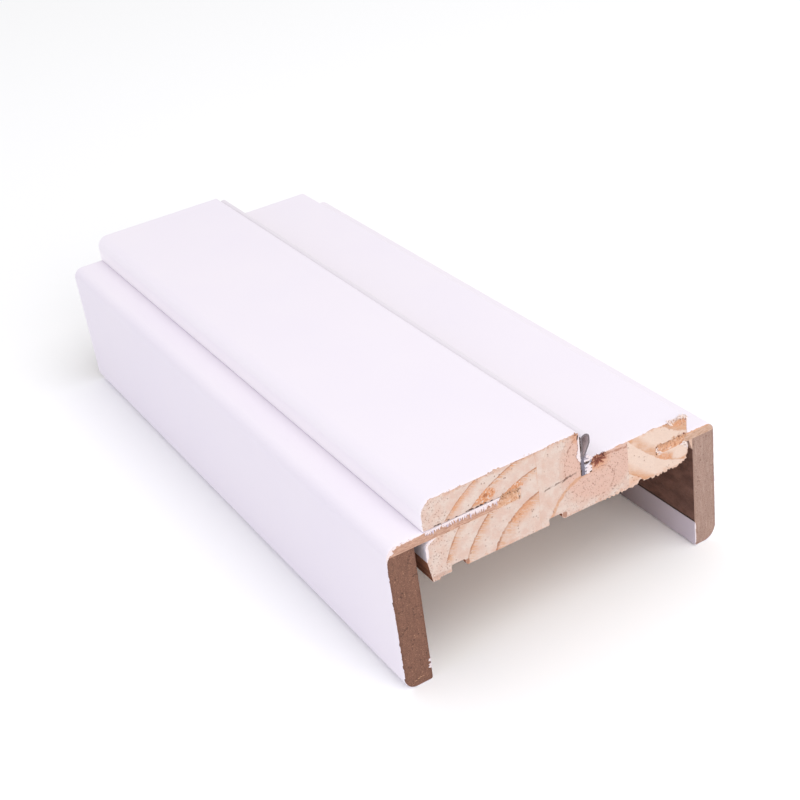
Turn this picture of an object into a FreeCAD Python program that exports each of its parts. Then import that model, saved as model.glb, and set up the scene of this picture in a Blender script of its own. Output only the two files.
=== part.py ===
import FreeCAD, Part
import math
import os
from FreeCAD import Vector

# A length of wrapped door jamb with its two architraves, sawn square at both ends.
# Millimetres. The section lies across X and Z and runs along Y. Section places count from the
# jamb's left side (x) and from its top face down (z); place() moves them to the part's origin,
# which is the middle of the footprint, at the level that the architraves stand on.

length = 265.0
stand_height = 64.0

# Jamb core, glued up from three strips of pine; each outer strip holds one whole tongue groove
jamb_width = 100.0
jamb_thickness = 28.5
left_groove_cover = 6.5
right_groove_cover = 11.2
rebate_width = 42.5
rebate_depth = 11.0
top_corner_radius = 4.5
step_corner_radius = 0.8
rebate_corner_radius = 1.5
bottom_corner_radius = 4.2

# Lower left edge of the jamb: a shallow foot, and a side that leans in below the wrap
foot_width = 3.7
foot_depth = 0.6
side_taper = 1.2
taper_start = 21.2

# Relief grooves along the jamb's back, which let it sit flat, and one small half-round groove
relief_starts = (8.0, 44.3)
relief_width = 5.0
relief_depth = 2.4
relief_floor_radius = 0.6
relief_bead_radius = 1.3
half_round_from_right = 19.4
half_round_radius = 1.1

# Groove for the telescopic tongue, in the jamb's left side
left_groove_top = 10.0
left_groove_height = 3.9
left_groove_depth = 35.0
left_lip_radius = 2.8

# Groove for the fixed tongue, in the jamb's right side
right_groove_top = 18.0
right_groove_height = 3.3
right_groove_depth = 12.9
right_lip_radius = 0.8
groove_arris_radius = 0.3

# Telescopic architrave: a thin tongue that runs on as the cap of a face board
telescopic_tongue_thickness = 3.4
telescopic_tongue_under_clearance = 0.1
telescopic_tongue_end_clearance = 0.8
telescopic_board_thickness = 9.6
telescopic_board_gap = 3.7
telescopic_cap_radius = 3.8
telescopic_outer_foot_radius = 4.0
telescopic_inner_foot_radius = 0.8

# Fixed architrave, glued into the right side
fixed_tongue_thickness = 3.1
fixed_tongue_end_clearance = 0.3
fixed_board_thickness = 8.8
fixed_board_gap = 2.1
fixed_cap_radius = 3.2
fixed_outer_foot_radius = 5.0
fixed_inner_foot_radius = 0.6
tongue_tip_radius = 0.5

# Kerf at the foot of the step, and the soft seal pushed into it
kerf_width = 4.3
kerf_depth = 5.2
seal_clearance = 0.15
seal_wall = 0.65
bulb_width = 3.5
bulb_offset = 0.7
bulb_top = 1.5
bulb_crown_flat = 0.1
bulb_shoulder = 5.3
bulb_shoulder_radius = 3.0
neck_depth = 10.3
stem_thickness = 1.35
barb_count = 3
barb_thickness = 0.6
barb_rise = 0.9
lip_height = 2.2
lip_depth = 7.6


def outline(corners):
    """A flat face across the section from (x, z, radius) corners; a radius rounds its corner with a tangent arc."""
    points = [Vector(x, 0, z) for x, z, _ in corners]
    edges = []
    runs = []
    for i, (_, _, radius) in enumerate(corners):
        corner = points[i]
        back = (points[i - 1] - corner).normalize()
        ahead = (points[(i + 1) % len(points)] - corner).normalize()
        if radius <= 0:
            runs.append((corner, corner))
            continue
        half_angle = back.getAngle(ahead) / 2
        setback = radius / math.tan(half_angle)
        start = corner + back * setback
        end = corner + ahead * setback
        bisector = (back + ahead).normalize()
        middle = corner + bisector * (radius / math.sin(half_angle) - radius)
        edges.append(Part.Arc(start, middle, end).toShape())
        runs.append((start, end))
    for i, (_, end) in enumerate(runs):
        following = runs[(i + 1) % len(runs)][0]
        edges.append(Part.LineSegment(end, following).toShape())
    return Part.Face(Part.Wire(Part.__sortEdges__(edges)))


def run_along(face):
    """The solid that a section face makes over the whole length."""
    return face.extrude(Vector(0, length, 0))


def slab(left, right, top, bottom):
    """A plain block over the whole length, between two x places and two depths below the jamb's top."""
    return Part.makeBox(right - left, length, bottom - top, Vector(left, 0, -bottom))


def place(shape):
    """Moves a shape from the section's places to the part's own origin."""
    outer_left = -telescopic_board_gap - telescopic_board_thickness
    outer_right = jamb_width + fixed_board_gap + fixed_board_thickness
    return shape.translated(Vector(-(outer_left + outer_right) / 2, -length / 2, stand_height))


step_x = jamb_width - rebate_width
left_groove_bottom = left_groove_top + left_groove_height
right_groove_bottom = right_groove_top + right_groove_height


def relief_groove(start):
    """Corners of one relief groove, from its right edge, which is beaded, to its square left edge."""
    end = start + relief_width
    floor = relief_depth - jamb_thickness
    return [
        (end, -jamb_thickness, relief_bead_radius),
        (end, floor, relief_floor_radius),
        (start, floor, relief_floor_radius),
        (start, -jamb_thickness, 0),
    ]


def jamb_core():
    """The jamb's whole section: stop block, rebate, seal kerf, both tongue grooves and the grooved back."""
    kerf_floor = -rebate_depth - kerf_depth
    foot_z = -jamb_thickness - foot_depth
    corners = [
        (0, 0, top_corner_radius),
        (step_x, 0, step_corner_radius),
        (step_x, kerf_floor, 0),
        (step_x + kerf_width, kerf_floor, 0),
        (step_x + kerf_width, -rebate_depth, groove_arris_radius),
        (jamb_width, -rebate_depth, rebate_corner_radius),
        (jamb_width, -right_groove_top, groove_arris_radius),
        (jamb_width - right_groove_depth, -right_groove_top, 0),
        (jamb_width - right_groove_depth, -right_groove_bottom, 0),
        (jamb_width, -right_groove_bottom, right_lip_radius),
        (jamb_width, -jamb_thickness, bottom_corner_radius),
    ]
    for start in reversed(relief_starts):
        corners += relief_groove(start)
    corners += [
        (foot_width, -jamb_thickness, 0),
        (foot_width, foot_z, 0),
        (side_taper, foot_z, 0),
        (0, -taper_start, 0),
        (0, -left_groove_bottom, left_lip_radius),
        (left_groove_depth, -left_groove_bottom, 0),
        (left_groove_depth, -left_groove_top, 0),
        (0, -left_groove_top, groove_arris_radius),
    ]
    axis_start = Vector(jamb_width - half_round_from_right, 0, -jamb_thickness)
    half_round = Part.makeCylinder(half_round_radius, length, axis_start, Vector(0, 1, 0))
    return run_along(outline(corners)).cut(half_round)


def jamb_strips():
    """The three glued strips, cut out of the core where the glue lines run."""
    core = jamb_core()
    lowest = jamb_thickness + foot_depth
    first_glue_line = left_groove_depth + left_groove_cover
    last_glue_line = jamb_width - right_groove_depth - right_groove_cover
    glue_lines = [0, first_glue_line, last_glue_line, jamb_width]
    names = ["jamb_left_strip", "jamb_middle_strip", "jamb_right_strip"]
    sides = zip(glue_lines[:-1], glue_lines[1:])
    return {name: core.common(slab(left, right, 0, lowest)) for name, (left, right) in zip(names, sides)}


def telescopic_architrave():
    """The left architrave's L section, divided where its thin tongue lies on the face board."""
    tongue_bottom = left_groove_bottom - telescopic_tongue_under_clearance
    tongue_top = tongue_bottom - telescopic_tongue_thickness
    tip_x = left_groove_depth - telescopic_tongue_end_clearance
    inner_x = -telescopic_board_gap
    outer_x = inner_x - telescopic_board_thickness
    corners = [
        (outer_x, -tongue_top, telescopic_cap_radius),
        (tip_x, -tongue_top, tongue_tip_radius),
        (tip_x, -tongue_bottom, tongue_tip_radius),
        (inner_x, -tongue_bottom, 0),
        (inner_x, -stand_height, telescopic_inner_foot_radius),
        (outer_x, -stand_height, telescopic_outer_foot_radius),
    ]
    whole = run_along(outline(corners))
    cap = slab(outer_x, tip_x, tongue_top, tongue_bottom)
    return {"telescopic_tongue": whole.common(cap), "telescopic_face_board": whole.cut(cap)}


def fixed_architrave():
    """The right architrave's L section, divided in the same way; its tongue lies on the groove's floor."""
    tongue_bottom = right_groove_bottom
    tongue_top = tongue_bottom - fixed_tongue_thickness
    tip_x = jamb_width - right_groove_depth + fixed_tongue_end_clearance
    inner_x = jamb_width + fixed_board_gap
    outer_x = inner_x + fixed_board_thickness
    corners = [
        (tip_x, -tongue_top, tongue_tip_radius),
        (outer_x, -tongue_top, fixed_cap_radius),
        (outer_x, -stand_height, fixed_outer_foot_radius),
        (inner_x, -stand_height, fixed_inner_foot_radius),
        (inner_x, -tongue_bottom, 0),
        (tip_x, -tongue_bottom, tongue_tip_radius),
    ]
    whole = run_along(outline(corners))
    cap = slab(tip_x, outer_x, tongue_top, tongue_bottom)
    return {"fixed_tongue": whole.common(cap), "fixed_face_board": whole.cut(cap)}


def bulb_face():
    """The seal's hollow teardrop: upright on the step side, rounded on the door side, drawn in to the neck."""
    left = step_x + bulb_offset
    right = left + bulb_width
    crown = (bulb_width - bulb_crown_flat) / 2
    stem_right = step_x + seal_clearance + stem_thickness
    outer = outline([
        (left, -bulb_top, crown),
        (right, -bulb_top, crown),
        (right, -bulb_shoulder, bulb_shoulder_radius),
        (stem_right, -neck_depth, 0),
        (left, -neck_depth, 0),
    ])
    return outer.cut(outer.makeOffset2D(-seal_wall))


def stem_faces():
    """The stem that stands in the kerf, its barbs against the kerf's far side, and the lip against the step."""
    left = step_x + seal_clearance
    right = left + stem_thickness
    barb_end = step_x + kerf_width - seal_clearance
    kerf_floor = rebate_depth + kerf_depth
    faces = [outline([
        (left, -neck_depth, 0),
        (right, -neck_depth, 0),
        (right, -kerf_floor, 0),
        (left, -kerf_floor, 0),
    ])]
    pitch = (kerf_depth - barb_thickness - barb_rise) / barb_count
    for i in range(barb_count):
        low = kerf_floor - i * pitch
        faces.append(outline([
            (left, -low, 0),
            (right, -low, 0),
            (barb_end, barb_rise - low, 0),
            (barb_end, barb_rise + barb_thickness - low, 0),
            (right, barb_thickness - low, 0),
            (left, barb_thickness - low, 0),
        ]))
    faces.append(outline([
        (step_x + bulb_offset + seal_wall / 2, -lip_depth, 0),
        (step_x + bulb_offset + seal_wall / 2, -lip_depth - lip_height, 0),
        (left, -lip_depth - lip_height, 0),
        (left, -lip_depth - lip_height / 2, 0),
    ]))
    return faces


def door_seal():
    """The whole seal as one soft extrusion."""
    stem = [run_along(face) for face in stem_faces()]
    return run_along(bulb_face()).fuse(stem).removeSplitter()


os.makedirs("parts", exist_ok=True)
parts = {**jamb_strips(), **telescopic_architrave(), **fixed_architrave(), "door_seal": door_seal()}
for name, shape in parts.items():
    solids = shape.Solids
    print(name, "solids", len(solids), "volume", round(shape.Volume, 1), "valid", shape.isValid())
    place(solids[0] if len(solids) == 1 else shape).exportStep(os.path.join("parts", name + ".step"))
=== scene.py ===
import math

import bmesh
import bpy
import numpy as np
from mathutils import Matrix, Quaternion, Vector


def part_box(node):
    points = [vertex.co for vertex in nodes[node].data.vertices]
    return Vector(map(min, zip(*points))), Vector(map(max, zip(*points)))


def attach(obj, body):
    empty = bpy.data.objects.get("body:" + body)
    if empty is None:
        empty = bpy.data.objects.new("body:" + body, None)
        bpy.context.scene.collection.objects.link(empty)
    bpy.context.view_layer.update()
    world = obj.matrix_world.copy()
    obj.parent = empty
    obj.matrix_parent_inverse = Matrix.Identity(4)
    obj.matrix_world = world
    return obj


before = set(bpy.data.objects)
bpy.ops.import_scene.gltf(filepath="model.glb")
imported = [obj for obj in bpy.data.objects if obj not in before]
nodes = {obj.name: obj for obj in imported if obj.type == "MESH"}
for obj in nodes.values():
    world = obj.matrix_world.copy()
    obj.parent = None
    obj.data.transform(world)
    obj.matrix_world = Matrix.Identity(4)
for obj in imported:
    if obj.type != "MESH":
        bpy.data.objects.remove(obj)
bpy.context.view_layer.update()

scene = bpy.context.scene
print("frame loaded:", len(nodes), "pieces")

# Places on the cut end are in millimetres, from the jamb's left side and from its top face, as (x, z)
mm = 0.001
leftStripLow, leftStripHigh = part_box("jamb_left_strip")
jambLeft, jambTop, nearEnd = leftStripLow.x, leftStripHigh.z, leftStripLow.y
jambLength = (leftStripHigh.y - nearEnd) / mm


# A node's lowest and highest corner as section places: (left, lowest z, right, highest z) in millimetres
def sectionBox(node):
    low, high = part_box(node)
    return (low.x - jambLeft) / mm, (low.z - jambTop) / mm, (high.x - jambLeft) / mm, (high.z - jambTop) / mm


_, jambBack, jambRight, rebateFloor = sectionBox("jamb_right_strip")
telescopicTongue = sectionBox("telescopic_tongue")
telescopicBoard = sectionBox("telescopic_face_board")
fixedTongue = sectionBox("fixed_tongue")
fixedBoard = sectionBox("fixed_face_board")

# How far the foil turns up inside each leg
telescopicReturn, fixedReturn = 7.0, 9.5


# What a user may change, by name: a dictionary whose values are read as attributes too
class Look(dict):
    __getattr__ = dict.__getitem__


# Shader maths: a Wire is one socket of a node tree, and an expression on Wires adds the nodes for it
class Wire:
    def __init__(self, tree, socket=None):
        self.tree, self.socket = tree, socket

    # Any node: its type, its settings, and the values or links of its sockets
    def make(self, kind, settings=None, inputs=None, output=0):
        node = self.tree.nodes.new(kind)
        for name, value in (settings or {}).items():
            setattr(node, name, value)
        for key, value in (inputs or {}).items():
            if isinstance(value, Wire):
                self.tree.links.new(value.socket, node.inputs[key])
            else:
                node.inputs[key].default_value = value
        return Wire(self.tree, node.outputs[output])

    def maths(self, operation, first, second=0.0):
        return self.make("ShaderNodeMath", {"operation": operation}, {0: first, 1: second})

    def __add__(self, other):
        return self.maths("ADD", self, other)

    def __radd__(self, other):
        return self.maths("ADD", other, self)

    def __sub__(self, other):
        return self.maths("SUBTRACT", self, other)

    def __rsub__(self, other):
        return self.maths("SUBTRACT", other, self)

    def __mul__(self, other):
        return self.maths("MULTIPLY", self, other)

    def __truediv__(self, other):
        return self.maths("DIVIDE", self, other)

    def fraction(self):
        return self.maths("FRACT", self)

    def size(self):
        return self.maths("ABSOLUTE", self)

    def root(self):
        return self.maths("SQRT", self)

    def least(self, other):
        return self.maths("MINIMUM", self, other)

    def most(self, other):
        return self.maths("MAXIMUM", self, other)

    # 0 below low, 1 above high, and a smooth step between; low above high turns it round
    def step(self, low, high):
        if low > high:
            return 1 - self.step(high, low)
        inputs = {0: self, 1: low, 2: high}
        return self.make("ShaderNodeMapRange", {"interpolation_type": "SMOOTHSTEP"}, inputs)

    # 1 between two values, fading out beyond them
    def within(self, low, high, fade):
        return self.step(low - fade, low) * self.step(high + fade, high)

    def vector(self, x, y, z):
        return self.make("ShaderNodeCombineXYZ", None, {0: x, 1: y, 2: z})

    # Goes from one colour to another as the factor goes from 0 to 1; a colour is a Wire or three numbers
    def blend(self, factor, first, second, mode="MIX"):
        settings = {"data_type": "RGBA", "blend_type": mode}
        first, second = (paint(*c) if isinstance(c, tuple) else c for c in (first, second))
        return self.make("ShaderNodeMix", settings, {0: factor, 6: first, 7: second}, 2)

    # Colours laid over a base one after another, each by its own factor
    def layers(self, base, *coats):
        for factor, colour in coats:
            base = self.blend(factor, base, colour)
        return base

    # A colour made lighter or darker by a factor
    def shade(self, colour, factor):
        grey = self.make("ShaderNodeCombineColor", None, {0: factor, 1: factor, 2: factor})
        return self.blend(1.0, colour, grey, "MULTIPLY")


# A colour as a picture program gives it, 0 to 255, turned to the linear value that shaders use
def paint(red, green, blue):
    share = np.array([red, green, blue]) / 255
    linear = np.where(share <= 0.04045, share / 12.92, ((share + 0.055) / 1.055) ** 2.4)
    return (*[float(x) for x in linear], 1.0)


# How marks on the cut are drawn. Each noise is a scale, a detail and a roughness, and By is how far it pushes
# the outline. Outer and inner are where a mark fades out and where it is full, in its own radii or widths.
marks = Look(
    endFacing=(0.5, 0.8), spotNoise=(0.9, 4.0, 0.7), spotBy=1.6, spotOuter=1.05, spotInner=0.65,
    softOuter=0.5, softInner=0.6, rayNoise=(5.0, 2.0, 0.6), rayBy=2.4, rayCalm=0.6, rayCore=0.02,
    lineNoise=(0.7, 4.0, 0.7), lineBy=1.6, lineOuter=1.8, lineInner=0.6, lineFade=0.5,
    circleNoise=(0.5, 3.0, 0.6), circleBy=1.2, circleInner=0.3,
)


# An empty material and what every finish here starts from: the surface's section place and length place
# in millimetres, which way it faces, how much of an end face it is, and its look's noises by name
class Finish:
    def __init__(self, name, look):
        self.look = look
        self.material = bpy.data.materials.new(name)
        self.material.use_nodes = True
        self.tree = self.material.node_tree
        self.tree.nodes.clear()
        self.shader = self.tree.nodes.new("ShaderNodeBsdfPrincipled")
        out = self.tree.nodes.new("ShaderNodeOutputMaterial")
        self.tree.links.new(self.shader.outputs[0], out.inputs[0])
        self.pen = Wire(self.tree)
        x, y, z = self.coordinate("Object")
        self.x, self.y, self.z = (x - jambLeft) / mm, (y - nearEnd) / mm, (z - jambTop) / mm
        self.place = self.pen.vector(self.x, self.y, self.z)
        self.facingX, facingY, self.facingZ = self.coordinate("Normal")
        self.endFace = facingY.size().step(*marks.endFacing)
        for key, (scale, detail, roughness, *fade) in look.noises.items():
            noise = self.noise(scale, detail, roughness)
            setattr(self, key, noise.step(*fade) if fade else noise)

    # The x, y and z of one of the surface's coordinates
    def coordinate(self, kind):
        whole = self.pen.make("ShaderNodeTexCoord", output=kind)
        apart = self.pen.make("ShaderNodeSeparateXYZ", None, {0: whole}).socket.node
        return [Wire(self.tree, part) for part in apart.outputs]

    # A texture over the place or another vector; its scale is one number, or one each for x, along and z
    def texture(self, kind, scale, place=None, **inputs):
        if isinstance(scale, tuple):
            place = self.pen.vector(self.x * scale[0], self.y * scale[1], self.z * scale[2])
            scale = 1.0
        return self.pen.make(kind, None, {"Vector": place or self.place, "Scale": scale, **inputs})

    def noise(self, scale, detail, roughness, place=None):
        return self.texture("ShaderNodeTexNoise", scale, place, Detail=detail, Roughness=roughness)

    # Round spots scattered at a scale: 1 inside a spot's radius, falling to 0 at its edge
    def spots(self, scale, radius, edge):
        return self.texture("ShaderNodeTexVoronoi", scale).step(radius + edge, radius)

    # A soft-edged ellipse about a section place, its outline made ragged by noise. A burst gives it rays:
    # noise that changes with the direction from the place alone.
    def spotAt(self, place, size, ragged, burst=0.0, soft=0.0):
        across, down = (self.x - place[0]) / size[0], (self.z - place[1]) / size[1]
        distance = (across * across + down * down).root()
        uneven = (self.noise(*marks.spotNoise) - 0.5) * ragged * marks.spotBy
        if burst:
            nearly = distance + marks.rayCore
            rays = self.noise(*marks.rayNoise, self.pen.vector(across / nearly, 0.0, down / nearly)) - 0.5
            uneven = uneven * marks.rayCalm + rays * burst * marks.rayBy
        outer = marks.spotOuter + soft * marks.softOuter
        return (distance + uneven).step(outer, marks.spotInner - soft * marks.softInner)

    # A thin straight line between two section places, shivering a little
    def lineAt(self, start, end, width):
        runX, runZ = end[0] - start[0], end[1] - start[1]
        length = math.hypot(runX, runZ)
        alongX, alongZ = runX / length, runZ / length
        fromX, fromZ = self.x - start[0], self.z - start[1]
        shiver = (self.noise(*marks.lineNoise) - 0.5) * marks.lineBy
        off = (fromZ * alongX - fromX * alongZ + shiver).size()
        travelled = fromX * alongX + fromZ * alongZ
        thin = off.step(width * marks.lineOuter, width * marks.lineInner)
        return thin * travelled.within(0.0, length, marks.lineFade)

    # A band along a circle about a section place
    def circleAt(self, centre, radius, width):
        across, down = self.x - centre[0], self.z - centre[1]
        shiver = (self.noise(*marks.circleNoise) - 0.5) * marks.circleBy
        off = ((across * across + down * down).root() - radius + shiver).size()
        return off.step(width, width * marks.circleInner)

    # The colour and all else that the look gives: a roughness to which one noise adds, a shine, and a bump
    # whose height is the sum of some noises, each times its own millimetres. Gives the whole material.
    def wear(self, colour):
        least, key, by = self.look.rough
        height = sum(getattr(self, noise) * high for noise, high in self.look.heights.items())
        bump = {"Strength": self.look.bump, "Distance": mm, "Height": height}
        values = {
            "Base Color": colour, "Roughness": getattr(self, key) * by + least,
            "Normal": self.pen.make("ShaderNodeBump", None, bump),
        }
        for socket, value in values.items():
            self.tree.links.new(value.socket, self.shader.inputs[socket])
        self.shader.inputs["Specular IOR Level"].default_value = self.look.shine
        return self.material


# Every look below has its noises by name. Each is a scale (one number, or one each for x, along and z), a
# detail and a roughness, and a mask has two numbers more: the values that it fades in between. Names that
# end in By are strengths, colours are 0 to 255, and other pairs are values to fade in between.

# Pine: growth rings are circles about each strip's pith, and the areas between them are alike, so the
# ring number is the squared distance over one ring's area. Each ring darkens outwards, then stops sharply.
pine = Look(
    early=(227, 196, 182), pale=(233, 214, 203), cream=(242, 215, 198), rosy=(228, 188, 172),
    late=(218, 162, 124), edge=(172, 118, 94), torn=(226, 158, 114), tornDark=(178, 112, 74),
    spot=(166, 118, 100), tick=(164, 120, 106), resin=(150, 78, 60), resinDark=(88, 42, 36),
    # side and sideDark are painted shade on the bare sides along the moulding
    crack=(112, 86, 76), back=(206, 172, 146), side=(176, 118, 90), sideDark=(122, 76, 58),
    noises=Look(
        sway=((0.07, 0.006, 0.07), 2.0, 0.5), shiver=((0.9, 0.02, 0.9), 4.0, 0.6),
        lively=((0.16, 0.01, 0.16), 2.0, 0.5, 0.20, 0.52),
        patch=((0.22, 0.01, 0.22), 4.0, 0.65, 0.38, 0.62),
        fibre=((2.4, 0.05, 2.4), 4.0, 0.7), streak=((1.3, 0.010, 1.3), 4.0, 0.6),
        gritty=(1.3, 3.0, 0.7), flecks=(1.2, 3.0, 0.7, 0.58, 0.70),
        broken=(0.55, 4.0, 0.75, 0.40, 0.52), dotted=(1.1, 3.0, 0.7, 0.46, 0.56),
        poreClouds=(0.22, 2.0, 0.5, 0.46, 0.60), tickClouds=(0.5, 3.0, 0.7, 0.36, 0.50),
        rimClouds=(0.60, 2.0, 0.5, 0.46, 0.62),
    ),
    swayBy=(3.0, 2.0), shiverBy=0.12, firstYear=10, patchBy=0.85, nearPith=(16.5, 13.0),
    hatch=(1.0, 3.0, 0.6), hatchScale=(0.30, 0.1, 1.9), hatchLean=0.46, hatched=(0.38, 0.58),
    hatchMiddle=0.85, lateBy=0.9, edgeIn=(0.90, 0.955), edgeOut=(0.995, 0.975), edgeBy=0.9,
    quietRagged=0.4, stainRagged=0.9, stainOut=(1.0, 0.97), gritDark=(0.44, 0.37),
    gritPale=(0.53, 0.60), lineLeast=0.25, curveLeast=0.5, curveBy=0.4, curveFade=0.5,
    poreSpots=(0.80, 0.10, 0.14), poresBy=0.6, tickSpots=((1.62, 1.35, 1.35), 0.19, 0.17),
    flecksBy=0.45, rimTop=(-1.1, -0.1), rimBack=(-27.3, -28.4), rimRebate=(-12.0, -11.1),
    rimKerf=(61.5, 62.0), rimRagged=0.8, rimBy=0.30, tone=0.77, toneFibre=0.20,
    toneHatch=0.12, sideStreaks=(0.35, 0.68), backStreaks=(0.35, 0.75), backBy=0.6,
    flat=(0.3, 0.7), rough=(0.74, "fibre", 0.12), shine=0.25, bump=1.0,
    heights=Look(fibre=0.16, hatch=0.05, pores=-0.20, flecks=0.05, streak=0.04),
)

# What each strip has, in section places. Specks and fadeLeft fade in from the first x to the second, and
# quiet places have no rings. A stain is a place, a size, a colour, a strength and what else it does: rings
# are the part of each year it keeps to. A line is its ends, a width, a colour and a strength. A curve is a
# centre, a radius, a width, the x and the z that it shows between, how dotted it is and a strength.
strips = {
    "jamb_left_strip": Look(
        pith=(48.8, -35.1), flattened=1.2, ringArea=650.8, phase=-0.05, ringStrength=1.0,
        hatched=1.0, fadeLeft=(2.5, 9.0), lateBand=(0.50, 0.97, 0.975), edgeStrength=0.80,
        cream=0.0, rosy=0.15, specks=(11.0, 5.0), speckled=0.8,
        quiet=[((3.5, -28.5), (6.5, 5.6)), ((7.0, -2.5), (5.6, 6.5))],
        stains=[
            ((22.4, -7.4), (4.6, 3.0), "torn", 0.95, {"rings": (0.22, 0.42), "torn": 1.0}),
            ((22.6, -7.2), (0.9, 0.8), "tornDark", 0.9, {}),
            ((32.2, -8.6), (4.4, 1.7), "torn", 0.95, {"rings": (0.30, 0.50), "torn": 1.0}),
            ((14.6, -6.4), (4.6, 4.4), "torn", 0.40, {"rings": (0.45, 0.85), "torn": 0.4}),
            ((35.0, -19.2), (5.4, 4.4), "torn", 0.55, {"rings": (0.40, 0.90), "torn": 0.5}),
            # Painted shade: the dark spot at a relief groove's bead
            ((13.6, -27.4), (1.1, 1.2), "edge", 0.8, {}),
            ((4.6, -27.7), (4.6, 0.9), "edge", 0.35, {"soft": 0.4}),
        ],
        lines=[((41.3, -0.5), (41.3, -28.0), 0.16, "late", 0.28)],
    ),
    "jamb_middle_strip": Look(
        pith=(65.2, -11.9), flattened=1.0, ringArea=256.0, phase=0.0, ringStrength=0.12,
        hatched=1.0, fadeLeft=(0.0, 1.0), lateBand=(0.55, 0.97, 0.975), edgeStrength=0.6,
        cream=0.0, rosy=0.9, specks=(46.0, 54.0), speckled=0.6,
        stains=[
            ((64.6, -13.6), (3.8, 2.8), "torn", 0.75, {"soft": 1.0}),
            ((64.6, -12.5), (3.1, 2.0), "resin", 0.95, {"burst": 1.3}),
            ((64.4, -12.4), (2.2, 1.3), "resinDark", 0.6, {"burst": 1.8}),
            ((56.8, -0.6), (2.2, 3.4), "torn", 0.5, {}),
            # Painted shade: the dark spot at a relief groove's bead
            ((50.4, -27.2), (1.1, 1.2), "edge", 0.8, {}),
        ],
        lines=[
            ((43.7, -15.3), (55.6, -14.0), 0.24, "crack", 0.7),
            ((50.4, -15.0), (53.4, -13.9), 0.36, "crack", 0.8),
            ((66.5, -11.9), (75.5, -12.9), 0.34, "edge", 0.7),
        ],
        curves=[
            ((61.2, -32.6), 16.8, 0.9, (43.0, 60.5), (-29.0, -15.6), 0.0, 0.85),
            ((65.2, -11.9), 13.6, 0.42, (49.0, 56.0), (-14.2, -1.0), 1.0, 0.8),
            ((64.9, -20.8), 5.2, 0.34, (63.5, 73.0), (-27.0, -15.0), 1.0, 0.6),
        ],
    ),
    "jamb_right_strip": Look(
        pith=(109.7, 10.0), flattened=1.0, ringArea=700.0, phase=-0.2, ringStrength=1.0,
        hatched=0.35, fadeLeft=(0.0, 1.0), lateBand=(0.54, 0.88, 0.95), edgeStrength=0.12,
        cream=0.8, rosy=0.0, specks=(76.0, 75.0), speckled=0.12,
        quiet=[((97.2, -24.2), (4.0, 2.6))],
        stains=[
            ((97.6, -13.0), (3.8, 1.4), "torn", 0.8, {"torn": 0.6}),
            ((78.2, -26.6), (3.4, 1.6), "torn", 0.45, {"soft": 0.7}),
            ((89.4, -23.8), (4.6, 2.4), "torn", 0.7, {"rings": (0.45, 0.8), "torn": 0.4}),
        ],
    ),
}


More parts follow.
